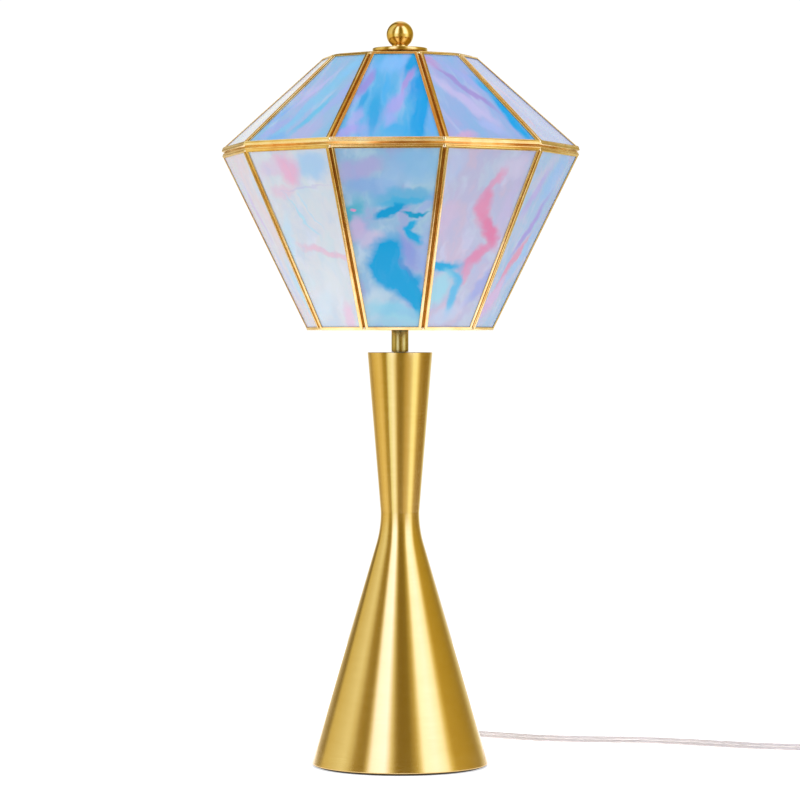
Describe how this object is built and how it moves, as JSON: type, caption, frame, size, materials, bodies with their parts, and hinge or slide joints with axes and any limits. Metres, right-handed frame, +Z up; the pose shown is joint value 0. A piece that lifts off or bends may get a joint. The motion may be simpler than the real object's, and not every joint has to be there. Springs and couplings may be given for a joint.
{
  "type": "table lamp",
  "caption": "Table lamp with a ten-sided leaded art-glass shade on a harp, a ball finial and a brushed brass double-cone body with a cord.",
  "frame": {"origin": "centre of the base pad's underside, on the lamp's axis", "axes": "+Z up along the lamp's axis, -Y towards the shade's front pane, the cord leaves the base towards +Y"},
  "size_m": [0.5349, 0.3493, 0.5584],
  "materials": {
    "pad_felt": "black pressed felt",
    "brushed_brass": "satin, lathe-brushed round the axis, lacquered",
    "polished_brass": "polished, lacquered",
    "ballast_iron": "rough sand-cast",
    "zinc_steel": "zinc plated",
    "hardware_brass": "brass-plated, semi-gloss",
    "came_brass": "polished channel with soldered joints",
    "art_glass": "opal art glass with blue, aqua and pink swirls",
    "bulb_glass": "frosted inside",
    "contact_solder": "solder",
    "clear_pvc": "clear flexible jacket",
    "tie_plastic": "soft white strap",
    "insulating_card": "matte fibre card",
    "black_phenolic": "moulded"
  },
  "bodies": {
    "root": {"base_pad": "pad_felt", "base_ballast": "ballast_iron", "base_cone": "brushed_brass", "neck_cone": "brushed_brass", "neck_cap": "brushed_brass", "waist_coupler": "zinc_steel", "tie_rod": "zinc_steel", "rod_nut": "zinc_steel", "rod_washer": "zinc_steel", "stem_tube": "polished_brass", "cord_bushing": "clear_pvc", "harp_saddle": "hardware_brass", "harp_bow": "hardware_brass", "socket_cap": "hardware_brass", "socket_shell": "hardware_brass", "socket_liner": "insulating_card", "socket_core": "black_phenolic", "screw_shell": "hardware_brass", "centre_contact": "hardware_brass", "inner_lead": "clear_pvc", "cord_lead": "clear_pvc", "cord_coil": "clear_pvc", "coil_tie": "tie_plastic", "plug_body": "clear_pvc", "plug_blade_narrow": "hardware_brass", "plug_blade_wide": "hardware_brass"},
    "ferrule_left": {"harp_ferrule_left": "hardware_brass"},
    "ferrule_right": {"harp_ferrule_right": "hardware_brass"},
    "switch": {"switch_shaft": "zinc_steel", "switch_key": "black_phenolic"},
    "bulb_tip": {"bulb_contact": "contact_solder"},
    "bulb": {"bulb_globe": "bulb_glass", "bulb_cap": "hardware_brass"},
    "shade": {"harp_stud": "zinc_steel", "shade_top_plate": "hardware_brass", "shade_disc": "brushed_brass", "crown_came": "came_brass", "skirt_came": "came_brass", "pane_crown_01": "art_glass", "pane_crown_02": "art_glass", "pane_crown_03": "art_glass", "pane_crown_04": "art_glass", "pane_crown_05": "art_glass", "pane_crown_06": "art_glass", "pane_crown_07": "art_glass", "pane_crown_08": "art_glass", "pane_crown_09": "art_glass", "pane_crown_10": "art_glass", "pane_skirt_01": "art_glass", "pane_skirt_02": "art_glass", "pane_skirt_03": "art_glass", "pane_skirt_04": "art_glass", "pane_skirt_05": "art_glass", "pane_skirt_06": "art_glass", "pane_skirt_07": "art_glass", "pane_skirt_08": "art_glass", "pane_skirt_09": "art_glass", "pane_skirt_10": "art_glass"},
    "finial_core": {"finial_insert": "hardware_brass"},
    "finial": {"finial_ball": "polished_brass"}
  },
  "joints": [
    {"name": "shade_turn", "type": "hinge", "parent": "root", "child": "shade", "pos_m": [0, 0, 0.53], "axis": [0, 0, 1], "continuous": true},
    {"name": "finial_lift", "type": "slide", "parent": "shade", "child": "finial_core", "axis": [0, 0, 1], "range_m": [0, 0.0075]},
    {"name": "finial_turn", "type": "hinge", "parent": "finial_core", "child": "finial", "pos_m": [0, 0, 0.5483], "axis": [0, 0, 1], "range_deg": [0, 2880.2]},
    {"name": "bulb_lift", "type": "slide", "parent": "root", "child": "bulb_tip", "axis": [0, 0, 1], "range_m": [0, 0.023]},
    {"name": "bulb_turn", "type": "hinge", "parent": "bulb_tip", "child": "bulb", "pos_m": [0, 0, 0.38], "axis": [0, 0, 1], "range_deg": [0, 2291.6]},
    {"name": "switch_turn", "type": "hinge", "parent": "root", "child": "switch", "pos_m": [0, -0.02, 0.353], "axis": [0, -1, 0], "continuous": true},
    {"name": "ferrule_left_lift", "type": "slide", "parent": "root", "child": "ferrule_left", "axis": [0, 0, 1], "range_m": [0, 0.015]},
    {"name": "ferrule_right_lift", "type": "slide", "parent": "root", "child": "ferrule_right", "axis": [0, 0, 1], "range_m": [0, 0.015]}
  ],
  "couplings": [
    {"joint": "finial_turn", "follows": "finial_lift", "rad_per_m": 6679.3},
    {"joint": "bulb_turn", "follows": "bulb_lift", "rad_per_m": 1731.4}
  ]
}
